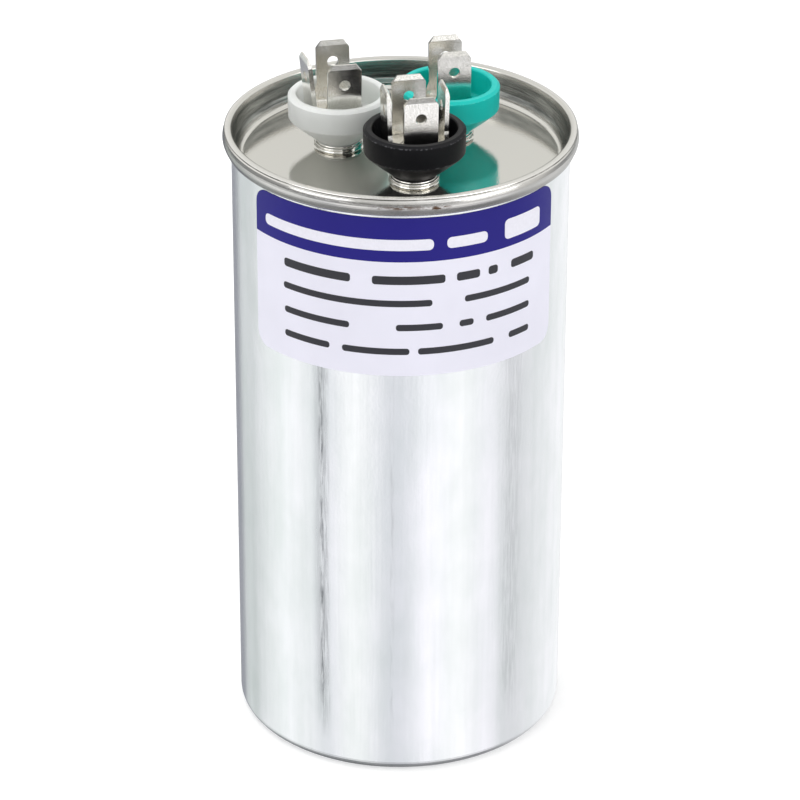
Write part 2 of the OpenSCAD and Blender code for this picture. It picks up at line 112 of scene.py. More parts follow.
# ---------------------------------------------------------------------------------------------------------
# Light: an even tent for the matt parts. In metal its walls show as white panels with grey gaps between
# them, by direction round the object: one ring of panels below eye level, another above it, and dark cloth
# along the horizon and under the object. Directions are in degrees, and -90 is the front.
# ---------------------------------------------------------------------------------------------------------
world = bpy.data.worlds.new("tent")
bpy.context.scene.world = world
world.use_nodes = True
tree = world.node_tree
tree.nodes.clear()
toward = add(tree, "TexCoord").outputs["Generated"]
turn = add(tree, "TexGradient", {"Vector": toward}, gradient_type="RADIAL").outputs["Fac"]
height = add(tree, "SeparateXYZ", {"Vector": toward}).outputs["Z"]
lower_panels = ((-180, "#f5f7f7"), (-160, "#eceeee"), (-143, "#dee0e3"), (-123, "#ffffff"), (-94, "#d5d7db"),
                (-66, "#f8f8fb"), (-48, "#ffffff"), (-26, "#eeeef1"), (-4, "#d0d2d3"), (35, "#e8e9ea"),
                (68, "#eeeff0"), (92, "#d8d9da"), (106, "#8d8f96"), (120, "#8d8f96"), (125, "#c6caca"),
                (134, "#ccd1d0"), (143, "#c0c5c4"), (154, "#d8dbdb"), (167, "#ebeded"), (180, "#f5f7f7"))
upper_panels = ((-180, "#dcdcda"), (-130, "#c4c4c2"), (-95, "#d2d2d0"), (-60, "#ffffff"), (-20, "#e6e6e4"),
                (20, "#cfcfcc"), (60, "#dadad7"), (150, "#dadad7"), (180, "#dcdcda"))
rings = []
for panels in (lower_panels, upper_panels):
    ring = add(tree, "ValToRGB", {"Fac": turn})
    ring.color_ramp.interpolation = "EASE"
    for direction, shade in panels[1:-1]:
        ring.color_ramp.elements.new((direction + 180) / 360).color = linear(shade)
    ring.color_ramp.elements[0].color = linear(panels[0][1])
    ring.color_ramp.elements[-1].color = linear(panels[-1][1])
    rings.append(ring.outputs["Color"])
is_up = add(tree, "MapRange", {"Value": height, "From Min": -0.01, "From Max": 0.01})
walls = add(tree, "Mix", {0: is_up.outputs[0], 6: rings[0], 7: rings[1]}, data_type="RGBA")
# How light the tent is at each height, from straight down (-1) to straight up (1)
tent_heights = ((-1.0, "#8f8f90"), (-0.85, "#9b9b9c"), (-0.58, "#ffffff"), (-0.24, "#ffffff"),
                (-0.14, "#989999"), (0.16, "#989999"), (0.34, "#ffffff"), (0.66, "#ffffff"), (1.0, "#e2e3e3"))
from_below = add(tree, "MapRange", {"Value": height, "From Min": -1.0}).outputs[0]
shades = add(tree, "ValToRGB", {"Fac": from_below})
for rise, shade in tent_heights[1:-1]:
    shades.color_ramp.elements.new((rise + 1) / 2).color = linear(shade)
shades.color_ramp.elements[0].color = linear(tent_heights[0][1])
shades.color_ramp.elements[-1].color = linear(tent_heights[-1][1])
whole = add(tree, "Mix", {0: 1.0, 6: walls.outputs[2], 7: shades.outputs["Color"]}, data_type="RGBA",
            blend_type="MULTIPLY")
# A white card stands in front of the cloth to the right of the front
card_edges = ((-72, "#000000"), (-40, "#ffffff"), (0, "#ffffff"), (30, "#000000"))
card_ramp = add(tree, "ValToRGB", {"Fac": turn})
for direction, shade in card_edges:
    card_ramp.color_ramp.elements.new((direction + 180) / 360).color = linear(shade)
card_ramp.color_ramp.elements[0].color = card_ramp.color_ramp.elements[-1].color = linear("#000000")
off_horizon = add(tree, "Math", {0: height}, operation="ABSOLUTE").outputs[0]
low_band = add(tree, "MapRange", {"Value": off_horizon, "From Min": 0.14, "From Max": 0.22, "To Min": 0.75,
                                  "To Max": 0.0}).outputs[0]
shown_card = add(tree, "Math", {0: card_ramp.outputs["Color"], 1: low_band}, operation="MULTIPLY").outputs[0]
whole = add(tree, "Mix", {0: shown_card, 6: whole.outputs[2], 7: linear("#e4e3e0")}, data_type="RGBA")
path = add(tree, "LightPath")
mirrored = add(tree, "Math", {0: path.outputs["Is Glossy Ray"], 1: path.outputs["Is Transmission Ray"]},
               operation="MAXIMUM")
panel_light = add(tree, "Background", {"Color": whole.outputs[2], "Strength": 1.2})
even_light = add(tree, "Background", {"Color": linear("#ffffff"), "Strength": 0.66})
backdrop = add(tree, "Background", {"Color": linear("#ffffff"), "Strength": 1.0})
lit = add(tree, "MixShader", {0: mirrored.outputs[0], 1: even_light.outputs[0], 2: panel_light.outputs[0]})
shown = add(tree, "MixShader", {0: path.outputs["Is Camera Ray"], 1: lit.outputs[0], 2: backdrop.outputs[0]})
tree.links.new(shown.outputs[0], add(tree, "OutputWorld").inputs["Surface"])


def soft_lamp(name, place, size, radiance, mirrored=True):
    """A square soft box of that brightness, facing the object's middle."""
    lamp = bpy.data.lights.new(name, "AREA")
    lamp.shape = "SQUARE"
    lamp.size = size
    lamp.energy = radiance * math.pi * size ** 2
    holder = bpy.data.objects.new(name, lamp)
    bpy.context.collection.objects.link(holder)
    holder.visible_glossy = mirrored
    aim = (Vector((0, 0, 70 * mm)) - Vector(place)).to_track_quat("-Z", "Y")
    holder.matrix_world = Matrix.Translation(place) @ aim.to_matrix().to_4x4()


soft_lamp("overhead", (-0.30, 0.35, 1.50), 1.3, 1.9, mirrored=False)
soft_lamp("left", (-1.15, -0.90, 0.90), 1.2, 1.2)
soft_lamp("right", (1.25, -0.80, 0.80), 1.1, 1.7)

# ---------------------------------------------------------------------------------------------------------
# Can: deep-drawn aluminium. The punch and die leave it bright, with fine draw lines along its height, small
# pits that deepen up towards the label, and a few long dark streaks at fixed directions round it, which are
# scratches in part and in part a painted reflection of dark bands round the can.
# ---------------------------------------------------------------------------------------------------------
drawn_aluminium, tree, output = new_material("drawn_aluminium")
can_radius = 31.75 * mm
place = add(tree, "TexCoord").outputs["Object"]
up = add(tree, "SeparateXYZ", {"Vector": place}).outputs["Z"]
turn = add(tree, "TexGradient", {"Vector": place}, gradient_type="RADIAL").outputs["Fac"]
along = add(tree, "Mapping", {"Vector": place, "Scale": (1, 1, 0.03)}).outputs[0]
lines = add(tree, "TexNoise", {"Vector": along, "Scale": 1 / (0.8 * mm), "Detail": 3,
                               "Roughness": 0.6}).outputs[0]
bands = add(tree, "TexNoise", {"Vector": along, "Scale": 1 / (7 * mm), "Detail": 2}).outputs[0]
pits = add(tree, "TexNoise", {"Vector": place, "Scale": 1 / (0.7 * mm), "Detail": 3,
                              "Roughness": 0.65}).outputs[0]
# A dark streak: a wandering line at one direction round the can, a soft haze with ragged dark scratches in it;
# scratches in part, and in part a painted reflection of a dark band round the can.
# Each has its direction, half its width, its depth, and the cut below which its scratches vanish
ragged = add(tree, "Mapping", {"Vector": place, "Scale": (1, 1, 0.07)}).outputs[0]
scratch = add(tree, "TexNoise", {"Vector": ragged, "Scale": 1 / (0.5 * mm), "Detail": 4, "Roughness": 0.72})
wander = add(tree, "TexNoise", {"Vector": place, "Scale": 1 / (9 * mm), "Detail": 2})
sway = add(tree, "MapRange", {"Value": wander.outputs[0], "From Min": 0.3, "From Max": 0.7,
                              "To Min": -0.15 * mm, "To Max": 0.15 * mm}).outputs[0]
scratch_and_reflection_streaks = 0.0
for direction, half_width, depth, cut in ((-117.6, 0.7 * mm, 0.60, 0.45), (-117.9, 2.2 * mm, 0.26, 0.28),
                                          (-115.8, 0.7 * mm, 0.22, 0.42), (-92.5, 0.6 * mm, 0.16, 0.44),
                                          (-48.0, 3.4 * mm, 0.16, 0.38), (-163.0, 1.2 * mm, 0.20, 0.42)):
    aside = add(tree, "Math", {0: turn, 1: (direction + 180) / 360}, operation="SUBTRACT").outputs[0]
    arc = add(tree, "Math", {0: aside, 1: 2 * math.pi * can_radius, 2: sway},
              operation="MULTIPLY_ADD").outputs[0]
    off = add(tree, "Math", {0: arc}, operation="ABSOLUTE").outputs[0]
    core = add(tree, "MapRange", {"Value": off, "From Min": 0.1 * half_width, "From Max": half_width,
                                  "To Min": depth, "To Max": 0.0}, interpolation_type="SMOOTHSTEP").outputs[0]
    broken = add(tree, "MapRange", {"Value": scratch.outputs[0], "From Min": cut,
                                    "From Max": cut + 0.2}).outputs[0]
    scratch_and_reflection_streaks = add(tree, "Math", {0: core, 1: broken, 2: scratch_and_reflection_streaks}, operation="MULTIPLY_ADD").outputs[0]
low_end = add(tree, "MapRange", {"Value": up, "From Min": 5 * mm, "From Max": 18 * mm}).outputs[0]
streaks_and_painted_reflection = add(tree, "Math", {0: scratch_and_reflection_streaks, 1: low_end}, operation="MULTIPLY", use_clamp=True).outputs[0]
stretched = add(tree, "Mapping", {"Vector": place, "Scale": (1, 1, 0.5)}).outputs[0]
blotches = add(tree, "TexNoise", {"Vector": stretched, "Scale": 1 / (10 * mm), "Detail": 3,
                                  "Roughness": 0.6}).outputs[0]
cloudy = add(tree, "Math", {0: blotches, 1: 0.9, 2: bands}, operation="MULTIPLY_ADD").outputs[0]
tone = add(tree, "MapRange", {"Value": cloudy, "From Min": 0.72, "From Max": 1.16}).outputs[0]
clean = add(tree, "Mix", {0: tone, 6: linear("#e4e8e8"), 7: linear("#f7f7fa")}, data_type="RGBA").outputs[2]
# The streaks are painted dark grey: scratches in part, and in part a painted reflection of dark bands
colour = add(tree, "Mix", {0: streaks_and_painted_reflection, 6: clean, 7: linear("#5d6067")}, data_type="RGBA").outputs[2]
gloss = add(tree, "MapRange", {"Value": lines, "From Min": 0.3, "From Max": 0.7, "To Min": 0.15,
                               "To Max": 0.23})
dull = add(tree, "Math", {0: streaks_and_painted_reflection, 1: 0.3, 2: gloss.outputs[0]}, operation="MULTIPLY_ADD", use_clamp=True)
pitted = add(tree, "MapRange", {"Value": up, "From Min": 30 * mm, "From Max": 92 * mm,
                                "To Min": 0.7, "To Max": 1.9}).outputs[0]
depth = add(tree, "Math", {0: pits, 1: pitted}, operation="MULTIPLY").outputs[0]
relief = add(tree, "Math", {0: lines, 1: 0.7, 2: depth}, operation="MULTIPLY_ADD").outputs[0]
carved = add(tree, "Math", {0: streaks_and_painted_reflection, 1: -1.2, 2: relief}, operation="MULTIPLY_ADD").outputs[0]
bump = add(tree, "Bump", {"Height": carved, "Strength": 1.0, "Distance": 0.02 * mm})
metal = add(tree, "BsdfPrincipled", {"Base Color": colour, "Metallic": 1.0, "Roughness": dull.outputs[0],
                                     "Normal": bump.outputs[0]})
tree.links.new(metal.outputs[0], output.inputs["Surface"])


def give(material, *names):
    """Puts the material in every slot of these nodes."""
    for name in names:
        for slot in nodes[name].material_slots:
            slot.material = material


give(drawn_aluminium, "can")

# ---------------------------------------------------------------------------------------------------------
# Lid: pressed tinplate, nearly a mirror on the deck. The seaming rolls leave its rim duller, with small
# scuffs at the front, and the chuck leaves fine streaks on the wall between deck and rim. That wall is
# painted dark grey as painted shade, the seam is painted lighter towards its top as a painted highlight,
# and a thin dark line of painted shade runs along the crease round the seam's top.
# ---------------------------------------------------------------------------------------------------------
tinplate, tree, output = new_material("bright_tinplate")
deck = 117.2 * mm
seam_radius = 33.3 * mm
crease_height = 122.6 * mm
crease_radius = 32.6 * mm
place = add(tree, "TexCoord").outputs["Object"]
spot = add(tree, "SeparateXYZ", {"Vector": place}).outputs
flat = add(tree, "CombineXYZ", {"X": spot["X"], "Y": spot["Y"]}).outputs[0]
reach = add(tree, "VectorMath", {0: flat}, operation="LENGTH").outputs["Value"]
turn = add(tree, "TexGradient", {"Vector": place}, gradient_type="RADIAL").outputs["Fac"]
grain = add(tree, "TexNoise", {"Vector": place, "Scale": 1 / (0.35 * mm), "Detail": 2}).outputs[0]
cloud = add(tree, "TexNoise", {"Vector": place, "Scale": 1 / (7 * mm), "Detail": 3}).outputs[0]
mirror = add(tree, "MapRange", {"Value": cloud, "From Min": 0.3, "From Max": 0.7, "To Min": 0.03,
                                "To Max": 0.07})
rolled = add(tree, "MapRange", {"Value": reach, "From Min": 32.0 * mm, "From Max": crease_radius}).outputs[0]
# The chuck wall: above the deck, past the deck's edge and inside the rim
above_deck = add(tree, "MapRange", {"Value": spot["Z"], "From Min": deck + 0.5 * mm,
                                    "From Max": deck + 1.5 * mm}).outputs[0]
inside_rim = add(tree, "MapRange", {"Value": reach, "From Min": can_radius,
                                    "From Max": can_radius - 0.2 * mm}).outputs[0]
past_edge = add(tree, "MapRange", {"Value": reach, "From Min": 29.4 * mm, "From Max": 29.9 * mm}).outputs[0]
chucked = add(tree, "Math", {0: above_deck, 1: inside_rim}, operation="MULTIPLY").outputs[0]
chucked = add(tree, "Math", {0: chucked, 1: past_edge}, operation="MULTIPLY").outputs[0]
gloss = add(tree, "Mix", {0: rolled, 2: mirror.outputs[0], 3: 0.14}, data_type="FLOAT").outputs[0]
gloss = add(tree, "Mix", {0: chucked, 2: gloss, 3: 0.2}, data_type="FLOAT").outputs[0]
# Scuffs on the rim: direction, height, half their width, and strength
scuffed = 0.0
for direction, scuff_height, half_width, strength in ((-78.3, 121.1 * mm, 2.8 * mm, 1.5),
                                                      (-89.5, 121.3 * mm, 6.5 * mm, 0.9)):
    aside = add(tree, "Math", {0: turn, 1: (direction + 180) / 360}, operation="SUBTRACT").outputs[0]
    arc = add(tree, "Math", {0: aside, 1: 2 * math.pi * seam_radius / half_width},
              operation="MULTIPLY").outputs[0]
    rise = add(tree, "MapRange", {"Value": spot["Z"], "From Min": scuff_height,
                                  "From Max": scuff_height + 0.75 * mm}, clamp=False).outputs[0]
    from_scuff = add(tree, "CombineXYZ", {"X": arc, "Y": rise}).outputs[0]
    off = add(tree, "VectorMath", {0: from_scuff}, operation="LENGTH").outputs["Value"]
    core = add(tree, "MapRange", {"Value": off, "From Min": 0.2, "From Max": 1.0, "To Min": strength,
                                  "To Max": 0.0})
    scuffed = add(tree, "Math", {0: core.outputs[0], 1: scuffed}, operation="ADD").outputs[0]
smeared = add(tree, "Mapping", {"Vector": place, "Scale": (0.5, 0.5, 2)}).outputs[0]
torn = add(tree, "TexNoise", {"Vector": smeared, "Scale": 1 / (0.7 * mm), "Detail": 3, "Roughness": 0.7})
broken = add(tree, "MapRange", {"Value": torn.outputs[0], "From Min": 0.42, "From Max": 0.56}).outputs[0]
scuff = add(tree, "Math", {0: scuffed, 1: broken}, operation="MULTIPLY", use_clamp=True).outputs[0]
# Fine lines run round the rim and the chuck wall, where the rolls and the chuck rub
rubbed = add(tree, "MapRange", {"Value": reach, "From Min": 29.6 * mm, "From Max": 30.4 * mm}).outputs[0]
drift = add(tree, "Math", {0: turn, 1: 9 * mm}, operation="MULTIPLY").outputs[0]
round_lines = add(tree, "CombineXYZ", {"X": reach, "Y": spot["Z"], "Z": drift})
worn = add(tree, "TexNoise", {"Vector": round_lines.outputs[0], "Scale": 1 / (0.45 * mm), "Detail": 4,
                              "Roughness": 0.75}).outputs[0]
streak = add(tree, "MapRange", {"Value": worn, "From Min": 0.34, "From Max": 0.66}).outputs[0]
# The chuck wall is painted in dark greys, far darker than the sheet, as painted shade, with the fine streaks of
# wear running through it
streaks_and_painted_shade = add(tree, "Mix", {0: streak, 6: linear("#6a6c6a"), 7: linear("#c6c7c4")},
              data_type="RGBA").outputs[2]
# The seam is painted lighter towards its top: a painted highlight along its crown
painted_crown_highlight = add(tree, "MapRange", {"Value": spot["Z"], "From Min": crease_height - 0.8 * mm,
                               "From Max": crease_height}).outputs[0]
seam = add(tree, "Mix", {0: painted_crown_highlight, 6: linear("#d2d0cd"), 7: linear("#faf8f5")}, data_type="RGBA").outputs[2]
# A thin dark line is painted round the outside of the seam's top, along the crease that the first seaming roll
# leaves: painted shade in the crease
aside = add(tree, "Math", {0: spot["Z"], 1: crease_height}, operation="SUBTRACT").outputs[0]
aside = add(tree, "Math", {0: aside}, operation="ABSOLUTE").outputs[0]
thin = add(tree, "MapRange", {"Value": aside, "From Min": 0.05 * mm, "From Max": 0.11 * mm, "To Min": 0.85,
                              "To Max": 0.0}).outputs[0]
outer = add(tree, "Math", {0: reach, 1: crease_radius}, operation="GREATER_THAN").outputs[0]
patchy = add(tree, "MapRange", {"Value": cloud, "From Min": 0.38, "From Max": 0.50, "To Min": 0.25}).outputs[0]
crease_shade = add(tree, "Math", {0: thin, 1: outer}, operation="MULTIPLY").outputs[0]
crease_shade = add(tree, "Math", {0: crease_shade, 1: patchy}, operation="MULTIPLY").outputs[0]
# The dark colour of the painted crease shade
seam = add(tree, "Mix", {0: crease_shade, 6: seam, 7: linear("#35332f")}, data_type="RGBA").outputs[2]
bright = add(tree, "Mix", {0: rolled, 6: linear("#eceae5"), 7: seam}, data_type="RGBA").outputs[2]
# The painted shade and the streaks end where the chuck wall turns over into the seam's top
upper = add(tree, "MapRange", {"Value": spot["Z"], "From Min": 121.6 * mm, "From Max": 122.5 * mm}).outputs[0]
streaks_and_painted_shade = add(tree, "Mix", {0: upper, 6: streaks_and_painted_shade, 7: linear("#e4e1dc")}, data_type="RGBA").outputs[2]
sheet = add(tree, "Mix", {0: chucked, 6: bright, 7: streaks_and_painted_shade}, data_type="RGBA").outputs[2]
colour = add(tree, "Mix", {0: scuff, 6: sheet, 7: linear("#6b5444")}, data_type="RGBA").outputs[2]
dull = add(tree, "Math", {0: scuff, 1: 0.35, 2: gloss}, operation="MULTIPLY_ADD").outputs[0]
coarse = add(tree, "Math", {0: grain, 1: 0.45}, operation="MULTIPLY").outputs[0]
texture = add(tree, "Mix", {0: rubbed, 2: coarse, 3: worn}, data_type="FLOAT").outputs[0]
bump = add(tree, "Bump", {"Height": texture, "Strength": 1.0, "Distance": 0.03 * mm})
metal = add(tree, "BsdfPrincipled", {"Base Color": colour, "Metallic": 0.975, "Roughness": dull,
                                     "Specular Tint": linear("#cfd0cf"),
                                     "Normal": bump.outputs[0]})
tree.links.new(metal.outputs[0], output.inputs["Surface"])
give(tinplate, "lid")

# ---------------------------------------------------------------------------------------------------------
# Label: a rectangle of printed vinyl film stuck round the can, with round corners. It is laid out flat, cut
# into strips a millimetre wide so that it bends evenly, wrapped, and given its thickness inwards.
# ---------------------------------------------------------------------------------------------------------
label_low, label_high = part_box("label")
label_radius = 31.84 * mm
label_width = 65 * mm
label_corner = 3 * mm
vinyl_thickness = 0.09 * mm
label_direction = -87.8
# How far round the can the label's middle stands from the front, to the right
label_middle = math.radians(label_direction + 90) * label_radius
band_foot = 109.8 * mm


def wrapped_cards(name, cards, corner, thickness, cuts=()):
    """Flat cards (left, right, foot, top) with round corners, wrapped round the can as one thin piece. They
    are cut at the heights in cuts. A thickness below 0 goes inwards."""
    bpy.ops.object.select_all(action="DESELECT")
    bpy.ops.mesh.primitive_plane_add(size=1)
    piece = bpy.context.object
    piece.name = piece.data.name = name
    bpy.ops.object.mode_set(mode="EDIT")
    bpy.ops.mesh.delete(type="VERT")
    for left, right, foot, top in cards:
        middle = ((left + right) / 2, (foot + top) / 2, 0)
        bpy.ops.mesh.select_all(action="DESELECT")
        bpy.ops.mesh.primitive_plane_add(size=1, location=middle)
        bpy.ops.transform.resize(value=(right - left, top - foot, 1), center_override=middle)
    bpy.ops.mesh.select_all(action="SELECT")
    bpy.ops.mesh.bevel(offset=corner, segments=6, affect="VERTICES")
    first, last = min(c[0] for c in cards), max(c[1] for c in cards)
    for step in range(math.ceil(first / mm), math.ceil(last / mm)):
        bpy.ops.mesh.select_all(action="SELECT")
        bpy.ops.mesh.bisect(plane_co=(step * mm, 0, 0), plane_no=(1, 0, 0))
    for level in cuts:
        bpy.ops.mesh.select_all(action="SELECT")
        bpy.ops.mesh.bisect(plane_co=(0, level, 0), plane_no=(0, 1, 0))
    bpy.ops.object.mode_set(mode="OBJECT")
    for vertex in piece.data.vertices:
        across, rise, _ = vertex.co
        angle = across / label_radius
        vertex.co = (label_radius * math.sin(angle), -label_radius * math.cos(angle), rise)
    solidify = piece.modifiers.new("thickness", "SOLIDIFY")
    solidify.thickness = abs(thickness)
    solidify.offset = math.copysign(1, thickness)
    bpy.ops.object.modifier_apply(modifier=solidify.name)
    bpy.ops.object.shade_smooth_by_angle(angle=math.radians(20))
    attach(piece, "root")
    return piece


label = wrapped_cards("printed_label", [(label_middle - label_width / 2, label_middle + label_width / 2,
                                         label_low[2], label_high[2])],
                      label_corner, -vinyl_thickness, cuts=(band_foot,))
for name, shade, shine in (("white_vinyl_film", "#eeedfa", 0.5), ("blue_printed_band", "#1c1480", 0.3)):
    film, tree, output = new_material(name)
    place = add(tree, "TexCoord").outputs["Object"]
    peel = add(tree, "TexNoise", {"Vector": place, "Scale": 1 / (1.5 * mm), "Detail": 2}).outputs[0]
    fade = add(tree, "TexNoise", {"Vector": place, "Scale": 1 / (12 * mm), "Detail": 2}).outputs[0]
    tone = add(tree, "MapRange", {"Value": fade, "From Min": 0.3, "From Max": 0.7, "To Min": 0.97,
                                  "To Max": 1.02})
    colour = add(tree, "HueSaturation", {"Value": tone.outputs[0], "Color": linear(shade)}).outputs[0]
    gloss = add(tree, "MapRange", {"Value": peel, "To Min": 0.36, "To Max": 0.46})
    bump = add(tree, "Bump", {"Height": peel, "Strength": 0.25, "Distance": 0.02 * mm})
    body = add(tree, "BsdfPrincipled", {"Base Color": colour, "Roughness": gloss.outputs[0], "IOR": 1.46,
                                        "Specular IOR Level": shine, "Normal": bump.outputs[0]})
    tree.links.new(body.outputs[0], output.inputs["Surface"])
    label.data.materials.append(film)
for face in label.data.polygons:
    face.material_index = 1 if face.center.z > band_foot else 0
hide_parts("label")

# ---------------------------------------------------------------------------------------------------------
# Print: plain bars of ink where the label's title and its four rows of small type would be, each standing
# the thickness of an ink film off the label.
# ---------------------------------------------------------------------------------------------------------
ink_film = 0.02 * mm
# Each row of type in mm: its middle's height, how tall it is, and its bars from left to right of the front
type_rows = ((106.1, 1.7, ((-23.3, -9.3), (-5.2, 8.3), (10.5, 15.1), (16.9, 18.9), (22.0, 27.8))),
             (101.4, 1.3, ((-23.5, 5.9), (12.1, 26.8))),
             (96.5, 1.3, ((-23.3, -9.5), (-0.8, 7.9), (11.1, 13.9), (16.5, 26.8))),
             (91.6, 1.3, ((-23.3, -13.4), (-10.9, 1.7), (3.3, 18.2), (21.7, 26.8))))
type_bars = [(left * mm, right * mm, (middle - tall / 2) * mm, (middle + tall / 2) * mm)
             for middle, tall, bars in type_rows for left, right in bars]
small_type = wrapped_cards("small_type", type_bars, 0.55 * mm, ink_film)
title = wrapped_cards("title_bars", [(-28.3 * mm, 6.1 * mm, 112.1 * mm, 114.3 * mm),
                                     (8.6 * mm, 16.6 * mm, 112.1 * mm, 114.3 * mm),
                                     (20.4 * mm, 29.6 * mm, 111.4 * mm, 115.4 * mm)], 0.9 * mm, ink_film)
for name, shade, piece in (("black_ink", "#2c2c33", small_type), ("white_ink", "#f1f0fa", title)):
    ink, tree, output = new_material(name)
    place = add(tree, "TexCoord").outputs["Object"]
    skin = add(tree, "TexNoise", {"Vector": place, "Scale": 1 / (0.6 * mm), "Detail": 2}).outputs[0]
    tone = add(tree, "MapRange", {"Value": skin, "From Min": 0.3, "From Max": 0.7, "To Min": 0.97,
                                  "To Max": 1.02})
    colour = add(tree, "HueSaturation", {"Value": tone.outputs[0], "Color": linear(shade)}).outputs[0]
    gloss = add(tree, "MapRange", {"Value": skin, "To Min": 0.38, "To Max": 0.52})
    body = add(tree, "BsdfPrincipled", {"Base Color": colour, "Roughness": gloss.outputs[0], "IOR": 1.46})
    tree.links.new(body.outputs[0], output.inputs["Surface"])
    piece.data.materials.append(ink)

# ---------------------------------------------------------------------------------------------------------
# Cups: moulded thermoplastic, one colour for each terminal: black for common, white for herm, teal for fan.
# A fine matt skin breaks up their sheen.
# ---------------------------------------------------------------------------------------------------------
for plastic, name, shade, worn, sheen, shine, milky in (
        ("black", "common_cup", "#101014", "#8b8b90", 0.42, 0.25, 0.00),
        ("white", "herm_cup",   "#e6e9e6", "#ffffff", 0.36, 0.50, 0.60),
        ("teal",  "fan_cup",    "#0ac6bc", "#74e6dd", 0.36, 0.40, 0.25)):
    moulded, tree, output = new_material("moulded_" + plastic)
    place = add(tree, "TexCoord").outputs["Object"]
    skin = add(tree, "TexNoise", {"Vector": place, "Scale": 1 / (0.5 * mm), "Detail": 3}).outputs[0]
    swirl = add(tree, "TexNoise", {"Vector": place, "Scale": 1 / (6 * mm), "Detail": 2}).outputs[0]
    tone = add(tree, "MapRange", {"Value": swirl, "From Min": 0.3, "From Max": 0.7, "To Min": 0.96,
                                  "To Max": 1.03})
    colour = add(tree, "HueSaturation", {"Value": tone.outputs[0], "Color": linear(shade)}).outputs[0]
    # The sharp outer edges, where the mould halves meet, are rubbed pale in specks
    low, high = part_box(name)
    spot = add(tree, "SeparateXYZ", {"Vector": place}).outputs
    rubbed = 0.0
    for edge_height in (high[2] - 0.5 * mm, high[2] - 4.6 * mm):
        away = add(tree, "Math", {0: spot["Z"], 1: edge_height}, operation="SUBTRACT").outputs[0]
        away = add(tree, "Math", {0: away}, operation="ABSOLUTE").outputs[0]
        close = add(tree, "MapRange", {"Value": away, "From Min": 0.05 * mm, "From Max": 0.16 * mm,
                                       "To Min": 1, "To Max": 0}).outputs[0]
        rubbed = add(tree, "Math", {0: close, 1: rubbed}, operation="MAXIMUM").outputs[0]
    middle = ((low[0] + high[0]) / 2, (low[1] + high[1]) / 2, 0)
    flat = add(tree, "CombineXYZ", {"X": spot["X"], "Y": spot["Y"]}).outputs[0]
    out = add(tree, "VectorMath", {0: flat, 1: middle}, operation="DISTANCE").outputs["Value"]
    rim_radius = (high[0] - low[0]) / 2
    outside = add(tree, "MapRange", {"Value": out, "From Min": rim_radius - 0.5 * mm,
                                     "From Max": rim_radius - 0.35 * mm}).outputs[0]
    specks = add(tree, "MapRange", {"Value": skin, "From Min": 0.52, "From Max": 0.60,
                                    "To Max": 0.3}).outputs[0]
    edge = add(tree, "Math", {0: rubbed, 1: outside}, operation="MULTIPLY").outputs[0]
    edge = add(tree, "Math", {0: edge, 1: specks}, operation="MULTIPLY").outputs[0]
    colour = add(tree, "Mix", {0: edge, 6: colour, 7: linear(worn)}, data_type="RGBA").outputs[2]
    rough = add(tree, "MapRange", {"Value": skin, "To Min": sheen - 0.05, "To Max": sheen + 0.1})
    bump = add(tree, "Bump", {"Height": skin, "Strength": 0.3, "Distance": 0.03 * mm})
    body = add(tree, "BsdfPrincipled", {"Base Color": colour, "Roughness": rough.outputs[0],
                                        "Normal": bump.outputs[0], "IOR": 1.5, "Specular IOR Level": shine,
                                        "Subsurface Weight": milky, "Subsurface Radius": (1, 1, 1),
                                        "Subsurface Scale": 4 * mm})
    tree.links.new(body.outputs[0], output.inputs["Surface"])
    give(moulded, name)

# ---------------------------------------------------------------------------------------------------------
# Tabs, rivets and solder tags: brass strip, tinned before it is stamped, with a fine frost in the tin. Some
# legs are bowed a little where they were bent, so that they mirror the light above the seam.
# ---------------------------------------------------------------------------------------------------------
tab_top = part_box("common_strip_upper")[1][2]
bowed_length = 11           # mm of a bowed leg, down from its tip
bow_angle = math.radians(8)     # how far its tip leans back
common_low, common_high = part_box("common_cup")
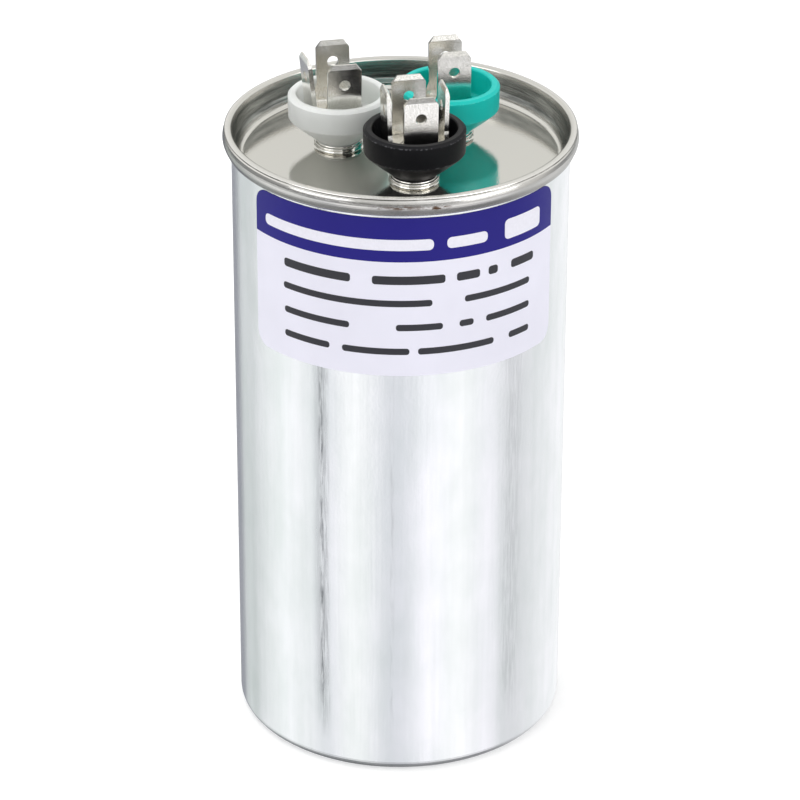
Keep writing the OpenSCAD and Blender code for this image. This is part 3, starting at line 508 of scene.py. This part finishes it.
# Each group of strips: its finish, the Y behind which its legs are bowed, and its pieces. At 1 m no leg
# is, and at -1 m every leg is
strip_groups = (("tinned_brass_flat", 1.0, ("common_strip_upper", "herm_strip", "herm_side_tab", "common_rivet",
                                            "herm_rivet", "fan_rivet", "common_tag", "herm_tag", "fan_tag")),
                ("tinned_brass_one_leg_bowed", (common_low[1] + common_high[1]) / 2, ("common_strip_lower",)),
                ("tinned_brass_bowed", -1.0, ("fan_strip",)))
for name, bowed_from, names in strip_groups:
    tinned, tree, output = new_material(name)
    place = add(tree, "TexCoord").outputs["Object"]
    spot = add(tree, "SeparateXYZ", {"Vector": place}).outputs
    frost = add(tree, "TexNoise", {"Vector": place, "Scale": 1 / (0.14 * mm), "Detail": 1,
                                   "Roughness": 0.6}).outputs[0]
    cloud = add(tree, "TexNoise", {"Vector": place, "Scale": 1 / (2.5 * mm), "Detail": 3}).outputs[0]
    shade = add(tree, "MapRange", {"Value": frost, "From Min": 0.38, "From Max": 0.62}).outputs[0]
    colour = add(tree, "Mix", {0: shade, 6: linear("#d8d6cf"), 7: linear("#fffdf9")},
                 data_type="RGBA").outputs[2]
    gloss = add(tree, "MapRange", {"Value": cloud, "From Min": 0.3, "From Max": 0.7, "To Min": 0.15,
                                   "To Max": 0.21})
    # A bowed leg leans back more and more towards its tip
    rise = add(tree, "MapRange", {"Value": spot["Z"], "From Min": tab_top - bowed_length * mm,
                                  "From Max": tab_top}).outputs[0]
    arch = add(tree, "Math", {0: rise, 1: 2.0}, operation="POWER").outputs[0]
    behind = add(tree, "Math", {0: spot["Y"], 1: bowed_from}, operation="GREATER_THAN").outputs[0]
    bow = add(tree, "Math", {0: arch, 1: behind}, operation="MULTIPLY").outputs[0]
    crystals = add(tree, "Math", {0: frost, 1: 0.007}, operation="MULTIPLY").outputs[0]
    relief = add(tree, "Math", {0: bow, 1: -0.5 * math.tan(bow_angle) * bowed_length, 2: crystals},
                 operation="MULTIPLY_ADD").outputs[0]
    bump = add(tree, "Bump", {"Height": relief, "Strength": 1.0, "Distance": 1 * mm})
    metal = add(tree, "BsdfPrincipled", {"Base Color": colour, "Metallic": 1.0, "Roughness": gloss.outputs[0],
                                         "Normal": bump.outputs[0]})
    tree.links.new(metal.outputs[0], output.inputs["Surface"])
    give(tinned, *names)

# ---------------------------------------------------------------------------------------------------------
# Seals: moulded rubber bushings that close the terminal holes under the deck, with a fine matt bloom.
# ---------------------------------------------------------------------------------------------------------
rubber, tree, output = new_material("moulded_epdm_rubber")
place = add(tree, "TexCoord").outputs["Object"]
bloom = add(tree, "TexNoise", {"Vector": place, "Scale": 1 / (1.2 * mm), "Detail": 4}).outputs[0]
colour = add(tree, "Mix", {0: bloom, 6: linear("#1b1b1c"), 7: linear("#2c2c2d")}, data_type="RGBA").outputs[2]
gloss = add(tree, "MapRange", {"Value": bloom, "To Min": 0.55, "To Max": 0.75})
bump = add(tree, "Bump", {"Height": bloom, "Strength": 0.3, "Distance": 0.03 * mm})
body = add(tree, "BsdfPrincipled", {"Base Color": colour, "Roughness": gloss.outputs[0], "IOR": 1.5,
                                    "Normal": bump.outputs[0]})
tree.links.new(body.outputs[0], output.inputs["Surface"])
give(rubber, "common_seal", "herm_seal", "fan_seal")

# ---------------------------------------------------------------------------------------------------------
# Leads: drawn copper wire, soldered between the tags and the sprayed ends of the winding.
# ---------------------------------------------------------------------------------------------------------
copper, tree, output = new_material("drawn_copper_wire")
place = add(tree, "TexCoord").outputs["Object"]
drawn = add(tree, "Mapping", {"Vector": place, "Scale": (1, 1, 0.05)}).outputs[0]
lines = add(tree, "TexNoise", {"Vector": drawn, "Scale": 1 / (0.15 * mm), "Detail": 2}).outputs[0]
colour = add(tree, "Mix", {0: lines, 6: linear("#b86b4a"), 7: linear("#d08a66")}, data_type="RGBA").outputs[2]
gloss = add(tree, "MapRange", {"Value": lines, "To Min": 0.22, "To Max": 0.36})
metal = add(tree, "BsdfPrincipled", {"Base Color": colour, "Metallic": 1.0, "Roughness": gloss.outputs[0]})
tree.links.new(metal.outputs[0], output.inputs["Surface"])
give(copper, "common_lead", "herm_lead", "fan_lead")

# ---------------------------------------------------------------------------------------------------------
# Interrupter disc: phenolic paper laminate, punched, brown with faint fibres.
# ---------------------------------------------------------------------------------------------------------
phenolic, tree, output = new_material("phenolic_paper_laminate")
place = add(tree, "TexCoord").outputs["Object"]
rolled_paper = add(tree, "Mapping", {"Vector": place, "Scale": (1, 0.15, 1)}).outputs[0]
fibres = add(tree, "TexNoise", {"Vector": rolled_paper, "Scale": 1 / (0.6 * mm), "Detail": 4}).outputs[0]
colour = add(tree, "Mix", {0: fibres, 6: linear("#9a7144"), 7: linear("#c39b68")},
             data_type="RGBA").outputs[2]
gloss = add(tree, "MapRange", {"Value": fibres, "To Min": 0.35, "To Max": 0.5})
body = add(tree, "BsdfPrincipled", {"Base Color": colour, "Roughness": gloss.outputs[0], "IOR": 1.55})
tree.links.new(body.outputs[0], output.inputs["Surface"])
give(phenolic, "interrupter_disc")

# ---------------------------------------------------------------------------------------------------------
# Winding: metallised polypropylene film on a core tube. Its turns, 7 micrometres thick, are drawn as rings
# of 0.3 mm so that they show. Both ends are sprayed with grainy zinc, which the leads are soldered to.
# ---------------------------------------------------------------------------------------------------------
film, tree, output = new_material("metallised_polypropylene_film")
place = add(tree, "TexCoord").outputs["Object"]
# A ring texture of scale s repeats every 2 pi / (20 s)
turn_pitch = 0.3 * mm
turns = add(tree, "TexWave", {"Vector": place, "Scale": 2 * math.pi / (20 * turn_pitch), "Distortion": 0.4},
            wave_type="RINGS", rings_direction="Z").outputs["Fac"]
wound = add(tree, "Mapping", {"Vector": place, "Scale": (1, 1, 0.1)}).outputs[0]
creases = add(tree, "TexNoise", {"Vector": wound, "Scale": 1 / (2 * mm), "Detail": 3}).outputs[0]
colour = add(tree, "Mix", {0: turns, 6: linear("#9ea3a8"), 7: linear("#d5d9dc")}, data_type="RGBA").outputs[2]
gloss = add(tree, "MapRange", {"Value": creases, "To Min": 0.2, "To Max": 0.4})
bump = add(tree, "Bump", {"Height": creases, "Strength": 0.4, "Distance": 0.1 * mm})
body = add(tree, "BsdfPrincipled", {"Base Color": colour, "Metallic": 0.7, "Roughness": gloss.outputs[0],
                                    "Normal": bump.outputs[0]})
tree.links.new(body.outputs[0], output.inputs["Surface"])
give(film, "film_roll")

zinc, tree, output = new_material("sprayed_zinc")
place = add(tree, "TexCoord").outputs["Object"]
grit = add(tree, "TexVoronoi", {"Vector": place, "Scale": 1 / (0.35 * mm)}).outputs["Distance"]
colour = add(tree, "Mix", {0: grit, 6: linear("#aeb1b3"), 7: linear("#7f8285")}, data_type="RGBA").outputs[2]
bump = add(tree, "Bump", {"Height": grit, "Strength": 0.6, "Distance": 0.1 * mm}, invert=True)
metal = add(tree, "BsdfPrincipled", {"Base Color": colour, "Metallic": 0.9, "Roughness": 0.62,
                                     "Normal": bump.outputs[0]})
tree.links.new(metal.outputs[0], output.inputs["Surface"])
give(zinc, "end_spray_common", "end_spray_fan", "end_spray_herm")

# ---------------------------------------------------------------------------------------------------------
# Core tube, liner and bottom tray: natural polypropylene, slightly waxy. The tube and the tray are moulded,
# the liner is a rolled sheet.
# ---------------------------------------------------------------------------------------------------------
for finish, names, shade, grain_size in (("moulded", ("core_tube", "bottom_tray"), "#e6e4dc", 1.0 * mm),
                                         ("rolled", ("can_liner",), "#efeee8", 4.0 * mm)):
    natural, tree, output = new_material(finish + "_polypropylene")
    place = add(tree, "TexCoord").outputs["Object"]
    haze = add(tree, "TexNoise", {"Vector": place, "Scale": 1 / grain_size, "Detail": 3}).outputs[0]
    tone = add(tree, "MapRange", {"Value": haze, "To Min": 0.94, "To Max": 1.03})
    colour = add(tree, "HueSaturation", {"Value": tone.outputs[0], "Color": linear(shade)}).outputs[0]
    gloss = add(tree, "MapRange", {"Value": haze, "To Min": 0.34, "To Max": 0.5})
    bump = add(tree, "Bump", {"Height": haze, "Strength": 0.2, "Distance": 0.04 * mm})
    body = add(tree, "BsdfPrincipled", {"Base Color": colour, "Roughness": gloss.outputs[0], "IOR": 1.49,
                                        "Normal": bump.outputs[0]})
    tree.links.new(body.outputs[0], output.inputs["Surface"])
    give(natural, *names)
